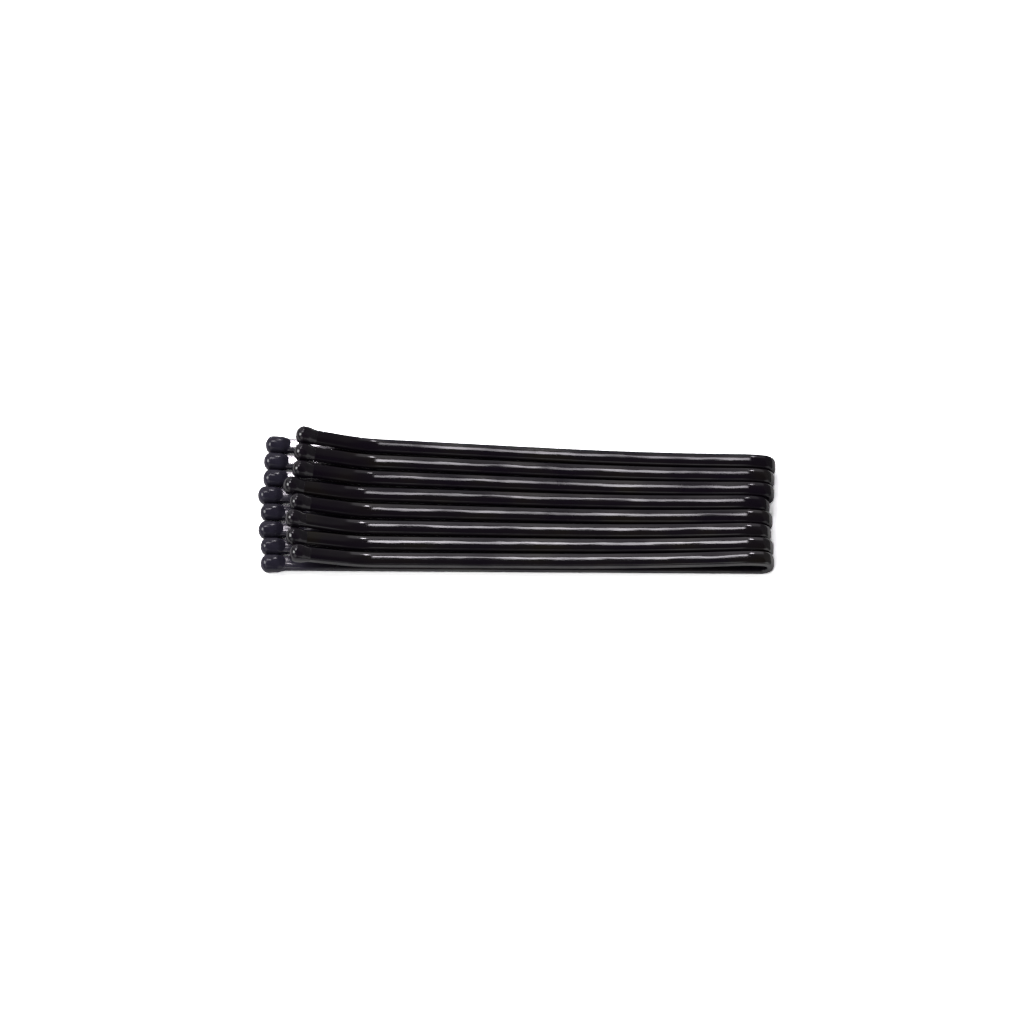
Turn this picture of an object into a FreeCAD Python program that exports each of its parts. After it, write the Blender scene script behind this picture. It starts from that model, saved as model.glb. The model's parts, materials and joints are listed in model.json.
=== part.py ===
# Eight bobby pins of flat spring wire, lying side by side as they come in a pack.
# Each pin lies on its long leg. Its two legs meet in a U bend at +X, and the short leg lies above
# the long one, almost touches it, and kicks up before its tip at -X. Both wire ends are dipped in
# resin beads, which are wider than the wire, so the row of pins fans out towards the tips.
# +X runs from the tips to the bends, +Y across the row, +Z up. Sizes are in millimetres, and the
# origin is at the middle of the row's underside.
import FreeCAD
import Part
import math
import os

# The whole pin, from the outside of its bend to the nose of its long tip.
pin_length = 51.0

# The flat wire. Its section is rolled: a flat on each face, a shoulder, a broken edge and a side.
# The shares place the corners of one quarter of it, across and up from its centre.
wire_width = 1.49
wire_thickness = 0.80
corner_across_shares = [0.32, 0.80, 1.00]
corner_up_shares = [1.00, 0.78, 0.28]

# The bend, and the way the short leg closes down onto the long one. The bend stops short of a
# half turn, so the short leg still rises from it to a crest, and only then closes.
bend_gap = 0.90
bend_shy_turn = 7.0
crest_radius = 11.0
leg_gap = 0.12
closing_run = 20.0

# The short leg ends before the long one, and its last stretch is bent up to let hair in.
leg_difference = 2.85
kick_run = 8.5
kick_rise = 1.52
kick_radius = 15.0

# The resin bead on each wire end, as covers over the wire, which ends where the nose begins.
# Behind its nose the bead keeps its size for a while, which is what the pin's tip lies on, and
# then sinks onto the wire. The long leg is dipped deeper.
bead_side_cover = 0.19
bead_face_cover = 0.36
bead_neck_cover = 0.03
bead_nose = 0.75
long_barrel = 0.9
long_bead_length = 2.5
short_barrel = 0.4
short_bead_length = 2.1

# Where the bead's section is drawn: as turns of its round nose, and as shares of its taper.
nose_turns = [80, 64, 46, 25, 0]
taper_shares = [0, 0.4, 0.7, 1.0]

# The row: clearances between neighbours, the longest slip of one pin along the others,
# and how far the last pin's tips stand aside from its bend.
bend_clearance = 0.072
tip_clearance = 0.05
slip = 0.34
last_pin_set = 0.17

# How each pin differs from the next, from the far side of the row (+Y) to the near side.
slip_shares = [0.9, 0.5, 0.4, -1.0, -0.2, -0.7, 0.0, 0.1]
difference_shares = [1.08, 1.07, 1.03, 0.90, 1.03, 0.96, 0.90, 1.02]
kick_shares = [1.05, 1.00, 0.93, 0.95, 1.00, 1.20, 0.93, 0.95]

# The clearance between each pin and the next.
bend_clearance_shares = [1.3, 1.0, 0.5, 1.3, 0.5, 1.0, 1.3]
tip_clearance_shares = [0.7, 1.0, 1.3, 1.4, 2.4, 0.4, 0.7]

# What follows from the sizes above.
bead_width = wire_width + 2 * bead_side_cover
bead_height = wire_thickness + 2 * bead_face_cover
bend_radius = (bend_gap + wire_thickness) / 2
bend_reach = bend_radius + wire_thickness / 2
leg_spacing = wire_thickness + leg_gap
shy_cosine = math.cos(math.radians(bend_shy_turn))
crest_height = bend_radius * (1 + shy_cosine) + crest_radius * (1 - shy_cosine)
pin_total = len(slip_shares)
tip_reach = pin_length - bend_reach - bead_nose
pin_tilt = math.degrees(math.asin((bead_height - wire_thickness) / 2 / tip_reach))

HALF_TURN = 180
ACROSS = FreeCAD.Vector(0, 1, 0)
UP = FreeCAD.Vector(0, 0, 1)
HERE = FreeCAD.Vector(0, 0, 0)


def rolled_section(width, thickness, along):
    """The outline of a rolled section, square to +X, at a place along it."""
    quarter = []
    for across_share, up_share in zip(corner_across_shares, corner_up_shares):
        quarter.append((across_share * width / 2, up_share * thickness / 2))
    right = quarter + [(across, -up) for across, up in reversed(quarter)]
    ring = right + [(-across, -up) for across, up in right]
    points = [FreeCAD.Vector(along, across, up) for across, up in ring]
    return Part.makePolygon(points + [points[0]])


def direction(heading):
    """The unit vector of a heading in degrees, in the pin's own upright plane."""
    turn = math.radians(heading)
    return FreeCAD.Vector(math.cos(turn), 0, math.sin(turn))


def placed(shape, spot, heading):
    """A copy of a shape made along +X, set at a spot and turned to a heading."""
    copy = shape.copy()
    copy.Placement = FreeCAD.Placement(spot, FreeCAD.Rotation(ACROSS, -heading))
    return copy


def straight_wire(section, spot, heading, length):
    """A straight run of wire, and the spot where it ends."""
    run = direction(heading) * length
    return placed(section, spot, heading).extrude(run), spot + run


def bent_wire(section, spot, heading, radius, turn):
    """Wire bent by a turn in degrees, and its end: a positive turn is to the left, seen from -Y."""
    side = math.copysign(radius, turn)
    centre = spot + direction(heading + HALF_TURN / 2) * side
    solid = placed(section, spot, heading).revolve(centre, -ACROSS, turn)
    swing = FreeCAD.Rotation(-ACROSS, turn)
    return solid, centre + swing.multVec(spot - centre)


def bead_stations(barrel, length):
    """Places along a bead from its nose to its neck, with the size of its section at each."""
    stations = []
    for turn in nose_turns:
        lean = math.radians(turn)
        stations.append((bead_nose * math.sin(lean), math.cos(lean)))
    neck = (wire_width + 2 * bead_neck_cover) / bead_width
    taper = length - bead_nose - barrel
    for share in taper_shares:
        sunk = share ** 2 * (3 - 2 * share)
        stations.append((-barrel - taper * share, 1 - (1 - neck) * sunk))
    return stations


def resin_bead(barrel, length):
    """A bead along +X whose nose begins at the origin, where the wire ends inside it."""
    sections = []
    for along, size in bead_stations(barrel, length):
        sections.append(rolled_section(bead_width * size, bead_height * size, along))
    return Part.makeLoft(sections, True, True)


def kick_turn(rise, run):
    """How far the short leg is bent up, so that it climbs by a rise over a run."""
    spare = kick_radius - rise
    lean = math.atan2(run, spare)
    return math.degrees(lean - math.acos(kick_radius / math.hypot(spare, run)))


def long_leg_pieces(section, bead):
    """The long leg from its end in the bead to the foot of the bend, and the bead over it."""
    end = FreeCAD.Vector(-tip_reach, 0, 0)
    leg = placed(section, end, 0).extrude(direction(0) * tip_reach)
    tip = placed(bead, end, HALF_TURN).cut(leg)
    return leg, tip


def bend_and_short_leg(section, bead, difference, rise):
    """The U bend, the short leg that crests, closes, runs level and kicks up, and its bead."""
    slope = 2 * math.degrees(math.atan((crest_height - leg_spacing) / closing_run))
    rising = HALF_TURN - bend_shy_turn
    falling = HALF_TURN + slope
    bend, spot = bent_wire(section, HERE, 0, bend_radius, rising)
    crest, spot = bent_wire(section, spot, rising, crest_radius, falling - rising)
    closing_radius = (spot.z - leg_spacing) / (1 - math.cos(math.radians(slope)))
    closing, spot = bent_wire(section, spot, falling, closing_radius, -slope)
    kick_place = difference + kick_run + bend_reach - pin_length
    level, spot = straight_wire(section, spot, HALF_TURN, spot.x - kick_place)
    turn = kick_turn(rise, kick_run)
    kick, spot = bent_wire(section, spot, HALF_TURN, kick_radius, -turn)
    run_left = kick_run - (kick_place - spot.x)
    climb = run_left / math.cos(math.radians(turn)) - bead_nose
    end_run, end = straight_wire(section, spot, HALF_TURN - turn, climb)
    leg = crest.multiFuse([closing, level, kick, end_run]).removeSplitter()
    tip = placed(bead, end, HALF_TURN - turn).cut(leg)
    return bend, leg, tip


def row_places(width, clearance, clearance_shares):
    """The places of the pins across the row, with the last one at zero."""
    places = [0]
    for share in reversed(clearance_shares):
        places.insert(0, places[0] + width + clearance * share)
    return places


def pin_placements():
    """Where each pin lies: side by side at the bends, bead by bead at the tips."""
    bends = row_places(wire_width, bend_clearance, bend_clearance_shares)
    tips = row_places(bead_width, tip_clearance, tip_clearance_shares)
    placements = []
    for number in range(pin_total):
        aside = tips[number] + last_pin_set - bends[number]
        turn = math.degrees(math.asin(aside / tip_reach))
        spin = FreeCAD.Rotation(UP, -turn).multiply(FreeCAD.Rotation(ACROSS, pin_tilt))
        spot = FreeCAD.Vector(slip * slip_shares[number], bends[number], wire_thickness / 2)
        placements.append(FreeCAD.Placement(spot, spin))
    return placements


def build_row():
    """Every piece of every pin by name, and the placement of each pin."""
    section = Part.Face(rolled_section(wire_width, wire_thickness, 0))
    long_bead = resin_bead(long_barrel, long_bead_length)
    short_bead = resin_bead(short_barrel, short_bead_length)
    placements = pin_placements()
    pieces = {}
    for number in range(pin_total):
        difference = leg_difference * difference_shares[number]
        rise = kick_rise * kick_shares[number]
        long_leg, long_tip = long_leg_pieces(section, long_bead)
        bend, short_leg, short_tip = bend_and_short_leg(section, short_bead, difference, rise)
        made = {"long_leg": long_leg, "bend": bend, "short_leg": short_leg,
                "long_tip": long_tip, "short_tip": short_tip}
        for word, shape in made.items():
            solid = shape.Solids[0]
            solid.Placement = placements[number].multiply(solid.Placement)
            pieces["pin_%d_%s" % (number + 1, word)] = solid
    return pieces, placements


def centre_row(pieces, placements):
    """Moves the row so that the origin is at the middle of its underside."""
    box = Part.Compound(list(pieces.values())).optimalBoundingBox()
    shift = FreeCAD.Vector(-box.Center.x, -box.Center.y, -box.ZMin)
    for solid in pieces.values():
        solid.translate(shift)
    for placement in placements:
        placement.move(shift)
    return box


pieces, placements = build_row()
row_box = centre_row(pieces, placements)
os.makedirs("parts", exist_ok=True)
for name, solid in pieces.items():
    solid.exportStep("parts/%s.step" % name)
    print(name, "valid", solid.isValid(), "volume %.3f" % solid.Volume)
print("row", "%.2f x %.2f x %.2f" % (row_box.XLength, row_box.YLength, row_box.ZLength))
print("pins", pin_total, "tilt %.3f degrees" % pin_tilt)
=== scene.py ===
# %% [markdown]
# A row of eight bobby pins, seen from above on a white table. Each pin is one flat wire with a
# U bend, dipped in resin at both ends. The solids that come with this lesson have the right sizes
# but a plain, faceted shape. Here every piece is modelled again, smooth, around those solids.
# The solids are loaded first, because everything else is measured from them.

# %% Load the solids
import json
import math
import bpy
import numpy as np
from mathutils import Matrix, Vector


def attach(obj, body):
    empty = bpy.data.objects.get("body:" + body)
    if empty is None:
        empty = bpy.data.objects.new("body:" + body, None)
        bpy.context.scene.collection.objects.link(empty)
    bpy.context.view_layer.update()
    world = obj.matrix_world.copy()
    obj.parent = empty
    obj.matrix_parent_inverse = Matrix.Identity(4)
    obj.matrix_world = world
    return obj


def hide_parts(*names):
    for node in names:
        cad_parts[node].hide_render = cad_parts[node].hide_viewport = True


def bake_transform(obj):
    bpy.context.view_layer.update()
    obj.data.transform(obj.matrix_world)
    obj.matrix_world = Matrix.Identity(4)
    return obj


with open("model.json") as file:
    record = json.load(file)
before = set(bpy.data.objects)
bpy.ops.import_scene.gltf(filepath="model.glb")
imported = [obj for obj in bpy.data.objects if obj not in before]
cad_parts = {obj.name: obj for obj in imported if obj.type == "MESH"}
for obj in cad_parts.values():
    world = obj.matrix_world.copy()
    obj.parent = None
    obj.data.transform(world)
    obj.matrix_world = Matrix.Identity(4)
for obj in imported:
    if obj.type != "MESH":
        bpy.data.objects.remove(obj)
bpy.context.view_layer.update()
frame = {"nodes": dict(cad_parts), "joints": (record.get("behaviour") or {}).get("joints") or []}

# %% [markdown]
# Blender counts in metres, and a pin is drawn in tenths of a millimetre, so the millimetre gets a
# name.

MM = 0.001

# %% [markdown]
# The camera comes next, so that every later choice can be judged through it. The picture was
# taken from far away with a long lens: the pins look as big at one end of the row as at the other.
# The camera looks down on the row from its near side. One pixel of the picture is about a tenth
# of a millimetre, and that sets the focal length for the distance that we choose.

# %% Camera
CAMERA_RISE = math.radians(61)
CAMERA_DISTANCE = 1.0
NEAREST_SEEN = 10 * MM
PICTURE_PX = 1024
PX_PER_MM = 10.04
row_origin_px = (516.9, 507.9)

right = Vector((1, 0, 0))
back = Vector((0, -math.cos(CAMERA_RISE), math.sin(CAMERA_RISE)))
picture_up = back.cross(right)
off_x = (PICTURE_PX / 2 - row_origin_px[0]) / PX_PER_MM * MM
off_y = (row_origin_px[1] - PICTURE_PX / 2) / PX_PER_MM * MM
aim = right * off_x + picture_up * off_y
bpy.ops.object.camera_add(location=aim + back * CAMERA_DISTANCE)
camera = bpy.context.object
camera.rotation_euler = back.to_track_quat("Z", "Y").to_euler()
camera.data.lens = camera.data.sensor_width * PX_PER_MM / MM * CAMERA_DISTANCE / PICTURE_PX
camera.data.clip_start = NEAREST_SEEN
bpy.context.scene.camera = camera
bpy.context.scene.view_settings.view_transform = "Standard"
print("lens", round(camera.data.lens, 1), "mm, aimed at", [round(c / MM, 2) for c in aim], "mm")


# %% [markdown]
# Materials and lights are node trees, and their wiring repeats. A few small helpers keep it
# readable: one adds a node with its values, one joins two nodes by the names of their sockets, and
# two more set up a colour ramp and a change from one range of values to another.

# %% Helpers for node trees
def add_node(tree, kind, values=None, **settings):
    """Adds a node, with settings as its properties and values on its sockets."""
    node = tree.nodes.new(kind)
    for name, value in settings.items():
        setattr(node, name, value)
    for socket, value in (values or {}).items():
        node.inputs[socket].default_value = value
    return node


def join(tree, giver, output, taker, socket):
    """Wires an output of one node to a socket of another."""
    tree.links.new(giver.outputs[output], taker.inputs[socket])


def new_material(name):
    """A material with an empty tree, and its output node."""
    material = bpy.data.materials.new(name)
    material.use_nodes = True
    material.node_tree.nodes.clear()
    output = add_node(material.node_tree, "ShaderNodeOutputMaterial")
    return material, material.node_tree, output


def set_ramp(ramp, steps):
    """Gives a colour ramp its steps: each is a position and a grey, or a position and a colour."""
    elements = ramp.color_ramp.elements
    elements[0].position, elements[1].position = steps[0][0], steps[-1][0]
    for position, _ in steps[1:-1]:
        elements.new(position)
    for element, (_, colour) in zip(elements, steps):
        element.color = (*colour, 1) if isinstance(colour, tuple) else (colour, colour, colour, 1)


def remap(tree, source, target):
    """A node that turns one range of values into another."""
    return add_node(tree, "ShaderNodeMapRange", {"From Min": source[0], "From Max": source[1],
                                                 "To Min": target[0], "To Max": target[1]})


# %% [markdown]
# The table is pure white in the picture, and black lacquer mirrors it. White paper under these
# lamps is only light grey, so the table has three whites. Light bounces off the true one. The camera
# sees one far brighter than any paper, and the lacquer mirrors one in between. It is still lit paper,
# which darkens under the pins and keeps their shadow where they touch it.

# %% Table
TABLE_SIZE = 4.0
PAPER_WHITE = 0.85
MIRRORED_WHITE = 1.2
SEEN_WHITE = 4.6
bpy.ops.mesh.primitive_plane_add(size=TABLE_SIZE, location=(0, 0, 0))
table = bpy.context.object
table.name = "table"
paper, tree, output = new_material("white_table")
ray = add_node(tree, "ShaderNodeLightPath")
shader = add_node(tree, "ShaderNodeBsdfDiffuse", {"Color": (PAPER_WHITE, PAPER_WHITE, PAPER_WHITE, 1)})
for kind, grey in (("Is Glossy Ray", MIRRORED_WHITE), ("Is Camera Ray", SEEN_WHITE)):
    brighter = add_node(tree, "ShaderNodeBsdfDiffuse", {"Color": (grey, grey, grey, 1)})
    choice = add_node(tree, "ShaderNodeMixShader")
    join(tree, ray, kind, choice, 0)
    join(tree, shader, 0, choice, 1)
    join(tree, brighter, 0, choice, 2)
    shader = choice
join(tree, shader, 0, output, 0)
table.data.materials.append(paper)
print("table", TABLE_SIZE, "m wide")

# %% [markdown]
# The room is what lacquer shows most. In the picture the flat tops are nearly black with one thin
# bright line, so the room is dark overhead and a little paler near the table. The world's colour
# follows the height of the direction that a ray takes. The camera sees plain white.

# %% World
# each step is the sine of a height above the horizon, with the grey there
ROOM_GREYS = [(0.0, 0.18), (0.60, 0.12), (0.80, 0.12), (0.87, 0.02)]
world = bpy.data.worlds.new("studio")
bpy.context.scene.world = world
world.use_nodes = True
tree = world.node_tree
tree.nodes.clear()
output = add_node(tree, "ShaderNodeOutputWorld")
place = add_node(tree, "ShaderNodeTexCoord")
split = add_node(tree, "ShaderNodeSeparateXYZ")
ramp = add_node(tree, "ShaderNodeValToRGB")
room = add_node(tree, "ShaderNodeBackground", {"Strength": 1.0})
white = add_node(tree, "ShaderNodeBackground", {"Color": (1, 1, 1, 1), "Strength": 1.0})
ray = add_node(tree, "ShaderNodeLightPath")
choice = add_node(tree, "ShaderNodeMixShader")
set_ramp(ramp, ROOM_GREYS)
join(tree, place, "Generated", split, 0)
join(tree, split, "Z", ramp, 0)
join(tree, ramp, 0, room, 0)
join(tree, ray, "Is Camera Ray", choice, 0)
join(tree, room, 0, choice, 1)
join(tree, white, 0, choice, 2)
join(tree, choice, 0, output, 0)
print("the room goes from grey", ROOM_GREYS[0][1], "at the horizon to", ROOM_GREYS[-1][1], "overhead")

# %% [markdown]
# Each lamp is placed by what it makes in the lacquer. A flat top mirrors the direction as high
# behind the row as the camera is in front of it, so a strip there gives the bright line. Where a
# leg kicks up or crests, its top leans to +X and mirrors what is further right, so the strip ends
# just past the middle, with a smaller lamp beside it that draws the hook at each end of the line.
# A dim panel low behind the row gives the grey band on each rounded far edge. The beads point to the
# left and mirror a window there, and two more dim panels light the near sides and the bends.

# %% Lamps
LAMP_DISTANCE = 2.0
STRIP_SHIFT = -0.325
LILAC = (0.98, 0.94, 1.0)


def add_lamp(name, turn, rise, spread, brightness, target=(0, 0, 0), tint=(1, 1, 1)):
    """A panel that faces the target. Its turn is from +Y towards +X, its spread the angles it fills."""
    turn, rise = math.radians(turn), math.radians(rise)
    heading = Vector((math.sin(turn) * math.cos(rise), math.cos(turn) * math.cos(rise), math.sin(rise)))
    bpy.ops.object.light_add(type="AREA", location=Vector(target) + heading * LAMP_DISTANCE)
    lamp = bpy.context.object
    lamp.name = name
    lamp.rotation_euler = heading.to_track_quat("Z", "Y").to_euler()
    lamp.data.shape = "RECTANGLE"
    width, height = [2 * LAMP_DISTANCE * math.tan(math.radians(angle / 2)) for angle in spread]
    lamp.data.size, lamp.data.size_y = width, height
    lamp.data.energy = brightness * math.pi * lamp.data.size * lamp.data.size_y
    lamp.data.color = tint
    print(name, round(width, 2), "x", round(height, 2), "m")


add_lamp("strip_lamp", 0, 60, (21, 3.2), 10.0, target=(STRIP_SHIFT, 0, 0), tint=LILAC)
add_lamp("hook_lamp", 7, 47, (2.6, 6), 22.0, tint=LILAC)
add_lamp("back_panel", -18, 29, (56, 54), 0.5, tint=LILAC)
add_lamp("window_panel", -70, 42, (20, 27), 10.0)
add_lamp("front_left_panel", -140, 42, (46, 44), 0.85)
add_lamp("right_panel", 130, 28, (50, 36), 0.6)


# %% [markdown]
# Now the pins. Everything about them is read from the solids: a pin's long leg gives the foot of
# its bend and its direction, and its hinge gives the centre of the bend. With these we can model
# each piece lying straight, and put it in its place at the end.

# %% Read the pins
CORNER_DIGITS = 8


def corners(node):
    """The corners of a solid, each once, in metres."""
    found = {tuple(round(c, CORNER_DIGITS) for c in v.co) for v in frame["nodes"][node].data.vertices}
    return np.array(sorted(found))


def hinge_of(number):
    """The hinge that a pin's legs open about."""
    return next(j for j in frame["joints"] if j["name"] == f"pin_{number}_spring_open")


def pin_place(number):
    """The matrix that puts a pin, drawn with the foot of its bend at the origin, in its place."""
    ends = corners(f"pin_{number}_long_leg")
    at_bend = ends[:, 0] > ends[:, 0].mean()
    foot, tip = Vector(ends[at_bend].mean(axis=0)), Vector(ends[~at_bend].mean(axis=0))
    along = (foot - tip).normalized()
    across = Vector(hinge_of(number)["axis"]).normalized()
    up = along.cross(across)
    place = Matrix((along, across, up)).transposed().to_4x4()
    place.translation = foot
    return place


def local_corners(node, place):
    """A solid's corners as they are when its pin is drawn at the origin."""
    back_home = place.inverted()
    return np.array([back_home @ Vector(c) for c in corners(node)])


pin_total = sum(name.endswith("_bend") for name in frame["nodes"])
places = {number: pin_place(number) for number in range(1, pin_total + 1)}
first_leg = local_corners("pin_1_long_leg", places[1])
wire_width, wire_thickness = np.ptp(first_leg[:, 1]), np.ptp(first_leg[:, 2])
tip_reach = -first_leg[:, 0].min()
bend_radius = (places[1].inverted() @ Vector(hinge_of(1)["pos_m"])).z
print(pin_total, "pins of wire", round(wire_width / MM, 2), "x", round(wire_thickness / MM, 2), "mm")
print("bend radius", round(bend_radius / MM, 3), "mm, tip reach", round(tip_reach / MM, 2), "mm")

# %% [markdown]
# A solid wire is a row of rings: its corners lie in flat rings across it. The centre of each ring
# is a point on the wire's middle line, and the ring's normal says how steeply the wire climbs
# there. That is all we need to draw the same line smoothly. Inside some bends the solid's upper and
# lower edges are cut in different places, so what isn't a full, flat ring there is passed over.

# %% Read the middle line of a leg
RING_GAP = 0.3 * MM
RING_FLATNESS = 0.001 * MM


def leg_rings(node, place):
    """The centre and the climb of each ring along a leg, from the bend to the tip."""
    local = local_corners(node, place)
    local = local[np.argsort(-local[:, 0])]
    breaks = np.flatnonzero(-np.diff(local[:, 0]) > RING_GAP) + 1
    groups = np.split(local, breaks)
    rings = []
    for ring in groups:
        centre = ring.mean(axis=0)
        _, depths, axes = np.linalg.svd(ring - centre)
        if len(ring) != len(groups[0]) or depths[2] > RING_FLATNESS:
            continue
        normal = axes[2]
        heading = normal if normal[0] < 0 else -normal
        rings.append((Vector((centre[0], 0, centre[2])), math.atan2(heading[2], -heading[0])))
    return rings


short_rings = {n: leg_rings(f"pin_{n}_short_leg", places[n]) for n in places}
for number, rings in short_rings.items():
    print("pin", number, "short leg: rings", len(rings), "last climb", round(math.degrees(rings[-1][1]), 2))


# %% [markdown]
# Every wire starts as its section. The wire's outer face is crowned and runs over into round
# shoulders, and its inner face, which grips the hair, is flatter and squarer at its edges. A square
# plane is a quick start: a vertex bevel as long as half its side rounds two of its corners, and the
# bevel's profile says how square they stay. The other two get a bevel with another profile. Only
# the outline is kept and stretched to size, because open edges are the simplest thing to extrude.

# %% Section of the wire
OUTER_ROUNDING = 0.63
INNER_ROUNDING = 0.735
BEAD_ROUNDING = 0.574
CORNER_STEPS = 16
HALF_SIDE = 0.5
CORNER_ZONE = 0.4
SAME_SPOT = 0.001
SHARP = math.radians(40)


def edit(piece):
    """Opens a piece for modelling, with all of it selected."""
    bpy.context.view_layer.objects.active = piece
    bpy.ops.object.mode_set(mode="EDIT")
    bpy.ops.mesh.select_all(action="SELECT")


def round_corners(piece, side, rounding):
    """Rounds the two corners of a square plane that lie on one side of it, +1 or -1 along X."""
    bpy.ops.mesh.select_all(action="DESELECT")
    bpy.ops.object.mode_set(mode="OBJECT")
    for corner in piece.data.vertices:
        corner.select = corner.co.x * side > CORNER_ZONE and abs(corner.co.y) > CORNER_ZONE
    bpy.ops.object.mode_set(mode="EDIT")
    bpy.ops.mesh.bevel(offset=HALF_SIDE, segments=CORNER_STEPS, profile=rounding,
                       affect="VERTICES", clamp_overlap=False)


def draw_section(name, width, thickness, upper, lower):
    """The outline of a wire or bead at the origin, square to X, open for modelling."""
    bpy.ops.object.select_all(action="DESELECT")
    bpy.ops.mesh.primitive_plane_add(size=2 * HALF_SIDE, location=(0, 0, 0))
    piece = bpy.context.object
    piece.name = name
    edit(piece)
    round_corners(piece, +1, upper)
    round_corners(piece, -1, lower)
    bpy.ops.mesh.select_all(action="SELECT")
    bpy.ops.mesh.remove_doubles(threshold=SAME_SPOT)
    bpy.ops.transform.rotate(value=math.pi / 2, orient_axis="Y", center_override=(0, 0, 0))
    bpy.ops.transform.resize(value=(1, width, thickness))
    bpy.ops.mesh.delete(type="ONLY_FACE")
    bpy.ops.mesh.select_all(action="SELECT")
    print(name, "section: corners", len(piece.data.vertices))
    return piece


def close_and_smooth(piece):
    """Caps the open ends, turns all faces outwards, and shades the piece smooth."""
    bpy.ops.mesh.select_all(action="SELECT")
    bpy.ops.mesh.fill_holes(sides=0)
    bpy.ops.mesh.select_all(action="SELECT")
    bpy.ops.mesh.normals_make_consistent(inside=False)
    bpy.ops.object.mode_set(mode="OBJECT")
    bpy.ops.object.shade_smooth_by_angle(angle=SHARP)


def copy_of(piece, name):
    """A copy of a piece with a mesh of its own."""
    bpy.ops.object.select_all(action="DESELECT")
    piece.select_set(True)
    bpy.context.view_layer.objects.active = piece
    bpy.ops.object.duplicate()
    twin = bpy.context.object
    twin.name = name
    return twin


def discard(piece):
    """Removes a pattern once its copies are made."""
    bpy.ops.object.select_all(action="DESELECT")
    piece.select_set(True)
    bpy.ops.object.delete()


# %% [markdown]
# A leg is drawn ring by ring. A curve with this outline as its bevel could make a wire too, but
# extruding and spinning keep each bend a true arc, like the solid's. Where two rings climb alike, the
# outline is extruded straight. Where the climb changes, the wire is bent, so the outline is spun about
# the centre of that bend, in small steps so that the lacquer mirrors smoothly.

# %% Draw a leg
STEP = math.radians(0.5)
STRAIGHT = math.radians(0.05)


def bend_centre(start, end, start_climb, turn):
    """The centre of the arc from start to end: a positive turn is upwards."""
    radius = (end - start).length / (2 * math.sin(abs(turn) / 2))
    upwards = Vector((math.sin(start_climb), 0, math.cos(start_climb)))
    return start + upwards * math.copysign(radius, turn)


def draw_leg(name, rings, upper, lower):
    """A wire through rings that run towards -X, as one closed mesh at the origin."""
    piece = draw_section(name, wire_width, wire_thickness, upper, lower)
    start, climb = rings[0]
    bpy.ops.transform.translate(value=start)
    bpy.ops.object.mode_set(mode="OBJECT")
    lean = Matrix.Rotation(climb, 4, "Y")
    piece.data.transform(Matrix.Translation(start) @ lean @ Matrix.Translation(-start))
    edit(piece)
    for end, end_climb in rings[1:]:
        turn = end_climb - climb
        if abs(turn) < STRAIGHT:
            bpy.ops.mesh.extrude_edges_move(TRANSFORM_OT_translate={"value": end - start})
        else:
            centre = bend_centre(start, end, climb, turn)
            steps = math.ceil(abs(turn) / STEP)
            bpy.ops.mesh.spin(steps=steps, angle=-turn, center=centre, axis=(0, 1, 0))
        start, climb = end, end_climb
    close_and_smooth(piece)
    return piece


# %% [markdown]
# The lacquer's fine streaks run along the wire, also round the bend. So each corner of a wire's
# mesh carries its place on the wire: how far along it is, how far across, and how far outwards from
# the middle line. The lacquer reads that place instead of the place in the room.

# %% Mark places along a wire
STRETCH = 100.0


def mark(piece, number, along, across, outwards):
    """Stores each corner's place on its wire, in millimetres, with every pin on its own stretch."""
    values = np.column_stack([along / MM + STRETCH * number, across / MM, outwards / MM])
    store = piece.data.attributes.new("place_on_wire", "FLOAT_VECTOR", "POINT")
    store.data.foreach_set("vector", values.astype(np.float32).ravel())


def mesh_points(piece):
    """The corners of a piece's mesh."""
    return np.array([v.co for v in piece.data.vertices])


def put(piece, place):
    """Moves a piece drawn at the origin to its place, inside its mesh."""
    piece.data.transform(place)
    piece.data.update()


# %% [markdown]
# All eight long legs are alike and straight, so one is drawn as a pattern and copied, each copy with
# a mesh of its own. Its inner face is the upper one, because the short leg lies on that side.

# %% Long legs
bend_turn = math.pi - short_rings[1][0][1]
bend_length = bend_radius * bend_turn
wires = []
straight_line = [(Vector((0, 0, 0)), 0.0), (Vector((-tip_reach, 0, 0)), 0.0)]
pattern = draw_leg("leg_pattern", straight_line, INNER_ROUNDING, OUTER_ROUNDING)
for number, place in places.items():
    leg = copy_of(pattern, f"pin_{number}_leg_below")
    points = mesh_points(leg)
    mark(leg, number, points[:, 0] + tip_reach, points[:, 1], -points[:, 2])
    put(leg, place)
    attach(leg, f"pin_{number}")
    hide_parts(f"pin_{number}_long_leg")
    wires.append(leg)
discard(pattern)
print(len(wires), "long legs,", len(wires[0].data.vertices), "corners each")

# %% [markdown]
# The short legs can't be copies. Each kicks up by its own amount, so each is drawn along its own
# rings. Their place along the wire goes on where the bend's ends, and their inner face is the lower.

# %% Short legs
for number, place in places.items():
    rings = short_rings[number]
    leg = draw_leg(f"pin_{number}_leg_above", rings, OUTER_ROUNDING, INNER_ROUNDING)
    points = mesh_points(leg)
    line = sorted((centre.x, centre.z) for centre, _ in rings)
    middle = np.interp(points[:, 0], [x for x, _ in line], [z for _, z in line])
    along = tip_reach + bend_length + rings[0][0].x - points[:, 0]
    mark(leg, number, along, points[:, 1], points[:, 2] - middle)
    put(leg, place)
    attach(leg, f"pin_{number}_short_arm")
    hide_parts(f"pin_{number}_short_leg")
    wires.append(leg)
print(pin_total, "short legs,", len(wires[-1].data.vertices), "corners in the last")
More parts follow.
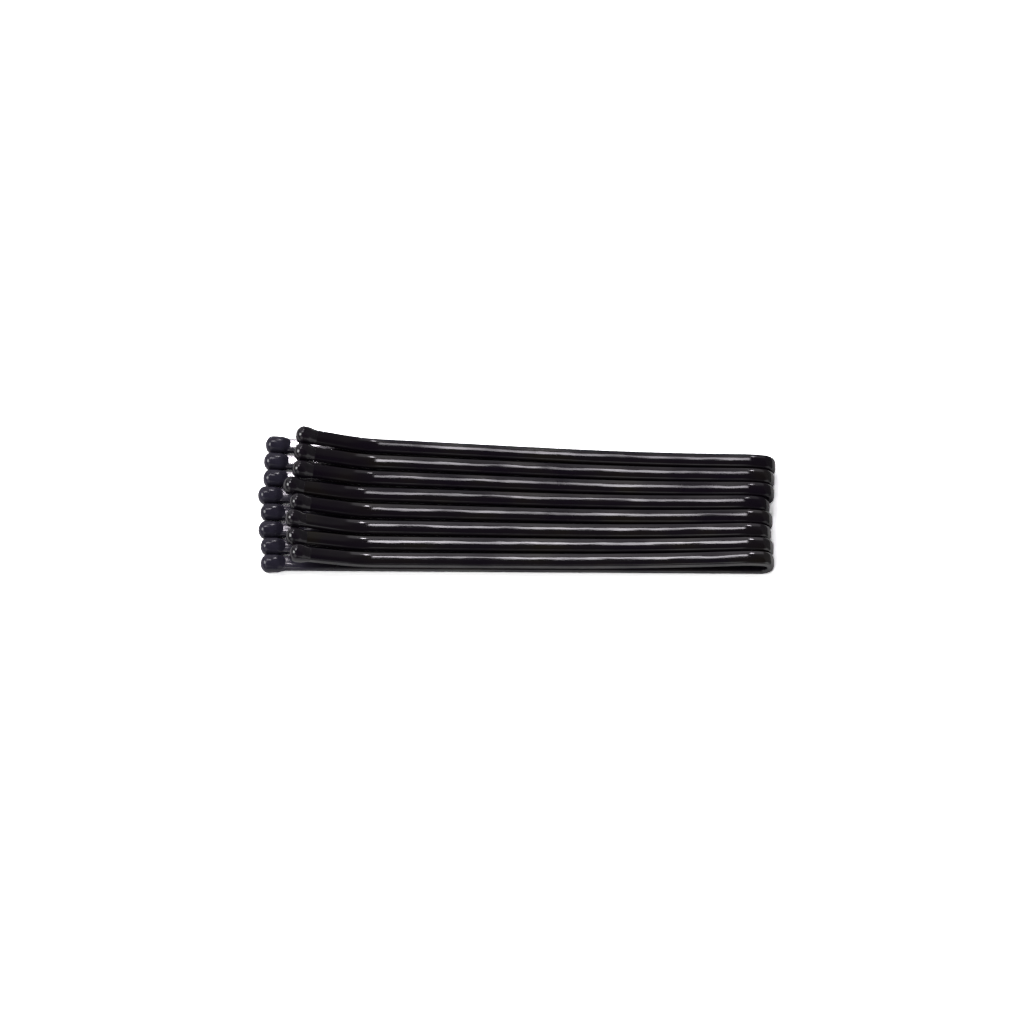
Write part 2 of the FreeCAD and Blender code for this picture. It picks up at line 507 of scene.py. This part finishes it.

# %% [markdown]
# In a real pin the bend is the only part that changes shape. All eight bends are alike here, so
# they are copies of one spin, each left where the solids put it.

# %% Bends
BEND_STEPS = 180
pattern = draw_section("bend_pattern", wire_width, wire_thickness, INNER_ROUNDING, OUTER_ROUNDING)
bpy.ops.mesh.spin(steps=BEND_STEPS, angle=bend_turn, center=(0, 0, bend_radius), axis=(0, 1, 0))
close_and_smooth(pattern)
for number, place in places.items():
    bend = copy_of(pattern, f"pin_{number}_spring_bend")
    points = mesh_points(bend)
    reach = np.hypot(points[:, 0], points[:, 2] - bend_radius)
    angle = np.arctan2(points[:, 0], bend_radius - points[:, 2]) % (2 * math.pi)
    # a corner just before the foot counts as a little below zero, not as a full turn
    angle[angle > 1.5 * math.pi] -= 2 * math.pi
    mark(bend, number, tip_reach + bend_radius * angle, points[:, 1], reach - bend_radius)
    put(bend, place)
    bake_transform(bend)
    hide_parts(f"pin_{number}_bend")
    wires.append(bend)
discard(pattern)
print(len(wires), "wire pieces, bends turn", round(math.degrees(bend_turn), 1), "degrees")

# %% [markdown]
# The beads are resin that the wire's ends were dipped in: a round nose, a body that sinks slowly,
# and a collar where the resin crept a little way along the wire. A stretched sphere would do for the
# nose but not for the collar, so the outline is extruded from the nose backwards and scaled at each
# step. The sizes are read from the solid beads.

# %% Beads
NOSE_STEPS = 18
BODY_STEPS = 24
BODY_SINK = 0.45
CREEP = 0.08 * MM
BARREL_SLACK = 0.004 * MM


def bead_sizes(node, matrix):
    """A solid bead's length, width, height and nose, and how long its full-size barrel is."""
    back_home = matrix.inverted()
    local = np.array([back_home @ Vector(c) for c in corners(node)])
    half_widths = np.abs(local[:, 1])
    barrel = local[half_widths > half_widths.max() - BARREL_SLACK, 0]
    sizes = {"length": np.ptp(local[:, 0]), "width": np.ptp(local[:, 1]), "height": np.ptp(local[:, 2]),
             "nose": local[:, 0].max(), "barrel": np.ptp(barrel)}
    return {word: float(size) for word, size in sizes.items()}


def bead_stations(sizes):
    """Places along a bead, measured from where its nose begins, with its width and height there."""
    stations = []
    for step in range(1, 2 * NOSE_STEPS, 2):
        lean = math.pi / 2 * (1 - step / (2 * NOSE_STEPS))
        share = math.cos(lean)
        stations.append((sizes["nose"] * math.sin(lean), sizes["width"] * share, sizes["height"] * share))
    body = sizes["length"] - sizes["nose"]
    barrel_share = sizes["barrel"] / body
    for step in range(BODY_STEPS + 1):
        share = step / BODY_STEPS
        collar = max(0.0, (share - barrel_share) / (1 - barrel_share))
        fall = BODY_SINK * share ** 2 + (1 - BODY_SINK) * (1 - math.cos(math.pi * collar)) / 2
        width = sizes["width"] + (wire_width + CREEP - sizes["width"]) * fall
        height = sizes["height"] + (wire_thickness + CREEP - sizes["height"]) * fall
        stations.append((-body * share, width, height))
    stations.append((-body - CREEP, wire_width - CREEP, wire_thickness - CREEP))
    return stations


def draw_bead(name, sizes):
    """A bead along +X over a wire that ends at the origin, as one closed mesh."""
    stations = bead_stations(sizes)
    spot, width, height = stations[0]
    piece = draw_section(name, width, height, BEAD_ROUNDING, BEAD_ROUNDING)
    bpy.ops.transform.translate(value=(spot, 0, 0))
    for next_spot, next_width, next_height in stations[1:]:
        bpy.ops.mesh.extrude_edges_move(TRANSFORM_OT_translate={"value": (next_spot - spot, 0, 0)})
        growth = (1, next_width / width, next_height / height)
        bpy.ops.transform.resize(value=growth, center_override=(next_spot, 0, 0))
        spot, width, height = next_spot, next_width, next_height
    close_and_smooth(piece)
    return piece


def bead_spots(number):
    """The matrices that put a bead drawn at the origin on a pin's long and short end."""
    end, climb = short_rings[number][-1]
    long_spot = Matrix.Translation((-tip_reach, 0, 0)) @ Matrix.Rotation(math.pi, 4, "Y")
    short_spot = Matrix.Translation(end) @ Matrix.Rotation(climb + math.pi, 4, "Y")
    return {"long": places[number] @ long_spot, "short": places[number] @ short_spot}


patterns = {}
for word, spot in bead_spots(1).items():
    sizes = bead_sizes(f"pin_1_{word}_tip", spot)
    patterns[word] = draw_bead(f"{word}_bead_pattern", sizes)
    print(word, "bead in mm:", {name: round(size / MM, 2) for name, size in sizes.items()})

# %% [markdown]
# No two dipped beads are quite alike. A cloud texture dents each copy's surface by a hair, and
# because the beads lie in different places, each gets its own dents. Its middle level is one, so
# that it only pushes inwards, because neighbouring beads almost touch.

# %% Copy the beads and make them a little uneven
LUMP_SIZE = 1.3 * MM
LUMP_HEIGHT = 0.03 * MM
lumps = bpy.data.textures.new("lumps", "CLOUDS")
lumps.noise_scale = LUMP_SIZE


def uneven(piece):
    """Dents a finished piece's surface by its place in the lumps."""
    bpy.context.view_layer.objects.active = piece
    push = piece.modifiers.new("uneven", "DISPLACE")
    push.texture = lumps
    push.texture_coords = "LOCAL"
    push.mid_level = 1.0
    push.strength = LUMP_HEIGHT
    bpy.ops.object.modifier_apply(modifier=push.name)


beads = {"long": [], "short": []}
for number in places:
    bodies = {"long": f"pin_{number}", "short": f"pin_{number}_short_arm"}
    for word, spot in bead_spots(number).items():
        bead = copy_of(patterns[word], f"pin_{number}_{word}_bead")
        put(bead, spot)
        uneven(bead)
        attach(bead, bodies[word])
        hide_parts(f"pin_{number}_{word}_tip")
        beads[word].append(bead)
for pattern in patterns.values():
    discard(pattern)
print(sum(len(pieces) for pieces in beads.values()), "beads")

# %% [markdown]
# The lacquer is almost black. What we see of it is its gloss, so its colour only drifts a little and
# the care goes into the surface. All that is uneven in it comes from three noises stretched along the
# wire: long, shallow waves, fine streaks, and broad patches.

# %% Noises along a wire
NOISE_ROUGHNESS = 0.55
lacquer, tree, output = new_material("black_lacquer")
wire_spot = add_node(tree, "ShaderNodeAttribute", attribute_name="place_on_wire")
parts = add_node(tree, "ShaderNodeSeparateXYZ")
join(tree, wire_spot, "Vector", parts, 0)


def wire_noise(stretch, detail):
    """Noise along a wire: its waves per millimetre along, across and outwards."""
    way = add_node(tree, "ShaderNodeMapping", {"Scale": stretch})
    noise = add_node(tree, "ShaderNodeTexNoise",
                     {"Scale": 1.0, "Detail": detail, "Roughness": NOISE_ROUGHNESS})
    join(tree, wire_spot, "Vector", way, 0)
    join(tree, way, 0, noise, 0)
    return noise


waves = wire_noise((0.15, 0.5, 0.5), 2.0)
streaks = wire_noise((0.6, 9.0, 9.0), 3.0)
patches = wire_noise((0.13, 0.2, 0.2), 2.0)
print("three noises read the place on the wire")

# %% [markdown]
# The waves tilt the surface, so the bright line wanders, and the streaks break it up. The patches
# drive the gloss, so the line comes and goes, and a slight tint. In the picture the two nearest pins
# are glossier than the rest. Every pin has its own stretch of places, so the gloss can rise over the
# stretch of the pin before them and stay.

# %% Lacquer
LACQUER_ROUGHNESS = 0.08
WAVE_HEIGHT = 0.036 * MM
STREAK_HEIGHT = 0.0012 * MM
VIOLET_BLACK = (0.0085, 0.0058, 0.0105)
PLAIN_BLACK = (0.0095, 0.0070, 0.0100)
BROWN_BLACK = (0.0120, 0.0092, 0.0070)
TINTS = [(0.40, VIOLET_BLACK), (0.52, PLAIN_BLACK), (0.66, BROWN_BLACK)]
PATCH_RANGE = (0.38, 0.62)
GLOSS_RANGE = (0.24, 0.72)
GLOSSY_FROM = 7
NEAR_GLOSS = 0.3
gloss_rise = (STRETCH * (GLOSSY_FROM - 1), STRETCH * GLOSSY_FROM)
shader = add_node(tree, "ShaderNodeBsdfPrincipled", {"Roughness": LACQUER_ROUGHNESS})
wave_bump = add_node(tree, "ShaderNodeBump", {"Strength": 1.0, "Distance": WAVE_HEIGHT})
streak_bump = add_node(tree, "ShaderNodeBump", {"Strength": 1.0, "Distance": STREAK_HEIGHT})
tint = add_node(tree, "ShaderNodeValToRGB")
set_ramp(tint, TINTS)
gloss = remap(tree, PATCH_RANGE, GLOSS_RANGE)
near_gloss = remap(tree, gloss_rise, (0.0, NEAR_GLOSS))
all_gloss = add_node(tree, "ShaderNodeMath", operation="ADD")
join(tree, waves, 0, wave_bump, "Height")
join(tree, streaks, 0, streak_bump, "Height")
join(tree, wave_bump, 0, streak_bump, "Normal")
join(tree, patches, 0, tint, 0)
join(tree, patches, 0, gloss, 0)
join(tree, parts, "X", near_gloss, 0)
join(tree, gloss, 0, all_gloss, 0)
join(tree, near_gloss, 0, all_gloss, 1)
join(tree, tint, 0, shader, "Base Color")
join(tree, all_gloss, 0, shader, "Specular IOR Level")
join(tree, streak_bump, 0, shader, "Normal")
print("lacquer waves", round(WAVE_HEIGHT / MM, 3), "mm high, streaks", round(STREAK_HEIGHT / MM, 4), "mm")

# %% [markdown]
# Beside the long bead the wire looks different. On the three far pins most of the leg's inner face is
# bright there, and on the others it has pale streaks. This is a painted highlight: the glare there is
# drawn as bright metal, over the far part of the face on those three pins and in streaks near every tip.
# Masks say where: each is one inside its zone and zero outside, and multiplied they leave only what
# lies in all of the zones. Some of the streaks' noise is added to the place along the wire, so the
# painted glare has a ragged end.

# %% Where the glare is painted
# painted highlight: these place the glare that is painted as bright metal beside the long bead
GLARE_REACH = 6.8
RAGGED = 1.4
GLARE_FROM = -0.3
INNER_FACE = -0.3
LAST_GLARE_PIN = 3
GLARE_STREAK_REACH = 3.3
GLARE_STREAK_STEPS = [(0.44, 0.0), (0.60, 0.34)]


def with_number(value, output, number, operation):
    """A value put together with a number, as a sum, a remainder or a mask."""
    node = add_node(tree, "ShaderNodeMath", {1: number}, operation=operation)
    join(tree, value, output, node, 0)
    return node


def combine(first, second, operation):
    """Two values put together."""
    node = add_node(tree, "ShaderNodeMath", operation=operation)
    join(tree, first, 0, node, 0)
    join(tree, second, 0, node, 1)
    return node


along = with_number(parts, "X", STRETCH, "MODULO")
far_pin = with_number(parts, "X", STRETCH * (LAST_GLARE_PIN + 1), "LESS_THAN")
far_side = with_number(parts, "Y", GLARE_FROM, "GREATER_THAN")
inner_face = with_number(parts, "Z", INNER_FACE, "LESS_THAN")
ragged_along = combine(along, with_number(streaks, 0, RAGGED, "MULTIPLY"), "ADD")
glare_stretch = combine(with_number(ragged_along, 0, GLARE_REACH, "LESS_THAN"), far_side, "MULTIPLY")
glare_streaks = add_node(tree, "ShaderNodeValToRGB")
set_ramp(glare_streaks, GLARE_STREAK_STEPS)
join(tree, streaks, 0, glare_streaks, 0)
glare_streaked = combine(with_number(along, 0, GLARE_STREAK_REACH, "LESS_THAN"), glare_streaks, "MULTIPLY")
# painted highlight: one where the glare is painted as bright metal
painted_glare = combine(combine(far_pin, glare_stretch, "MULTIPLY"), glare_streaked, "MAXIMUM")
painted_glare = combine(painted_glare, inner_face, "MULTIPLY")
# the printed reach and pins are those of the painted glare
print("bare for up to", GLARE_REACH, "mm on pins 1 to", LAST_GLARE_PIN)
print("streaked for", GLARE_STREAK_REACH, "mm on all pins")

# %% [markdown]
# Two more finishes go over the lacquer. A film of the bead's resin runs on along the wire and fades
# out, in the long beads' paler tint, which is painted light, and bright metal draws the painted glare.
# Mixing shaders keeps each of them a true material.

# %% Resin film and painted glare
FILM_REACH = (3.4, 7.5)
# the film has the long beads' paler tint, which is painted light
PAINTED_PALE_BLUE_BLACK = (0.030, 0.026, 0.043, 1)
# painted highlight: the colour of the bright metal that draws the glare
GLARE_METAL_WHITE = (0.85, 0.82, 0.85, 1)
film = add_node(tree, "ShaderNodeBsdfPrincipled",
                {"Base Color": PAINTED_PALE_BLUE_BLACK, "Roughness": 0.4, "Specular IOR Level": 0.3})
# painted highlight: the bright metal shader that draws the glare
glare_metal = add_node(tree, "ShaderNodeBsdfPrincipled",
                {"Base Color": GLARE_METAL_WHITE, "Metallic": 1.0, "Roughness": 0.22})
filmed = remap(tree, FILM_REACH, (1.0, 0.0))
under = add_node(tree, "ShaderNodeMixShader")
skin = add_node(tree, "ShaderNodeMixShader")
join(tree, streak_bump, 0, glare_metal, "Normal")
join(tree, along, 0, filmed, 0)
join(tree, filmed, 0, under, 0)
join(tree, shader, 0, under, 1)
join(tree, film, 0, under, 2)
join(tree, painted_glare, 0, skin, 0)
join(tree, under, 0, skin, 1)
join(tree, glare_metal, 0, skin, 2)
join(tree, skin, 0, output, 0)
for piece in wires:
    piece.data.materials.append(lacquer)
print("lacquer on", len(wires), "pieces")

# %% [markdown]
# The beads are dark resin, and it isn't even: some of it is a little bluer and paler, and its skin has
# faint ripples and duller spots. One noise, about as coarse as the beads' dents, drives the colour
# and the roughness, and a finer one the ripples. The long beads are painted paler and bluer than the
# short ones, though both are the same resin: that is painted light, for the flat long beads catch
# more light than the short ones, which tilt up.

# %% Resins
CLOUD_WAVES = 900.0
RIPPLE_WAVES = 2600.0
RIPPLE_HEIGHT = 0.002 * MM
RESIN_ROUGHNESS = (0.07, 0.13)
CLOUD_RANGE = (0.35, 0.65)
# painted light: the long beads' shades are painted paler and bluer than the short beads', though it is one
# resin
LONG_SHADES_PAINTED_PALER = [(0.025, 0.022, 0.036), (0.034, 0.030, 0.049)]
SHORT_SHADES_PAINTED_DARKER = [(0.009, 0.007, 0.011), (0.015, 0.011, 0.017)]


def bead_resin(name, shades, gloss):
    """Dark resin with a soft sheen, in two shades that run into each other."""
    material, tree, output = new_material(name)
    place = add_node(tree, "ShaderNodeTexCoord")
    clouds = add_node(tree, "ShaderNodeTexNoise", {"Scale": CLOUD_WAVES, "Detail": 2.0})
    ripples = add_node(tree, "ShaderNodeTexNoise", {"Scale": RIPPLE_WAVES, "Detail": 3.0})
    shade = add_node(tree, "ShaderNodeValToRGB")
    set_ramp(shade, list(zip(CLOUD_RANGE, shades)))
    dull = remap(tree, CLOUD_RANGE, RESIN_ROUGHNESS)
    bump = add_node(tree, "ShaderNodeBump", {"Strength": 1.0, "Distance": RIPPLE_HEIGHT})
    shader = add_node(tree, "ShaderNodeBsdfPrincipled", {"Specular IOR Level": gloss})
    join(tree, place, "Object", clouds, "Vector")
    join(tree, place, "Object", ripples, "Vector")
    join(tree, clouds, 0, shade, 0)
    join(tree, clouds, 0, dull, 0)
    join(tree, ripples, 0, bump, "Height")
    join(tree, shade, 0, shader, "Base Color")
    join(tree, dull, 0, shader, "Roughness")
    join(tree, bump, 0, shader, "Normal")
    join(tree, shader, 0, output, 0)
    return material


resins = {
    "long": bead_resin("long_tip_resin", LONG_SHADES_PAINTED_PALER, gloss=0.3),
    "short": bead_resin("short_tip_resin", SHORT_SHADES_PAINTED_DARKER, gloss=0.5),
}
for word, pieces in beads.items():
    for piece in pieces:
        piece.data.materials.append(resins[word])
print("resin on", sum(len(pieces) for pieces in beads.values()), "beads")
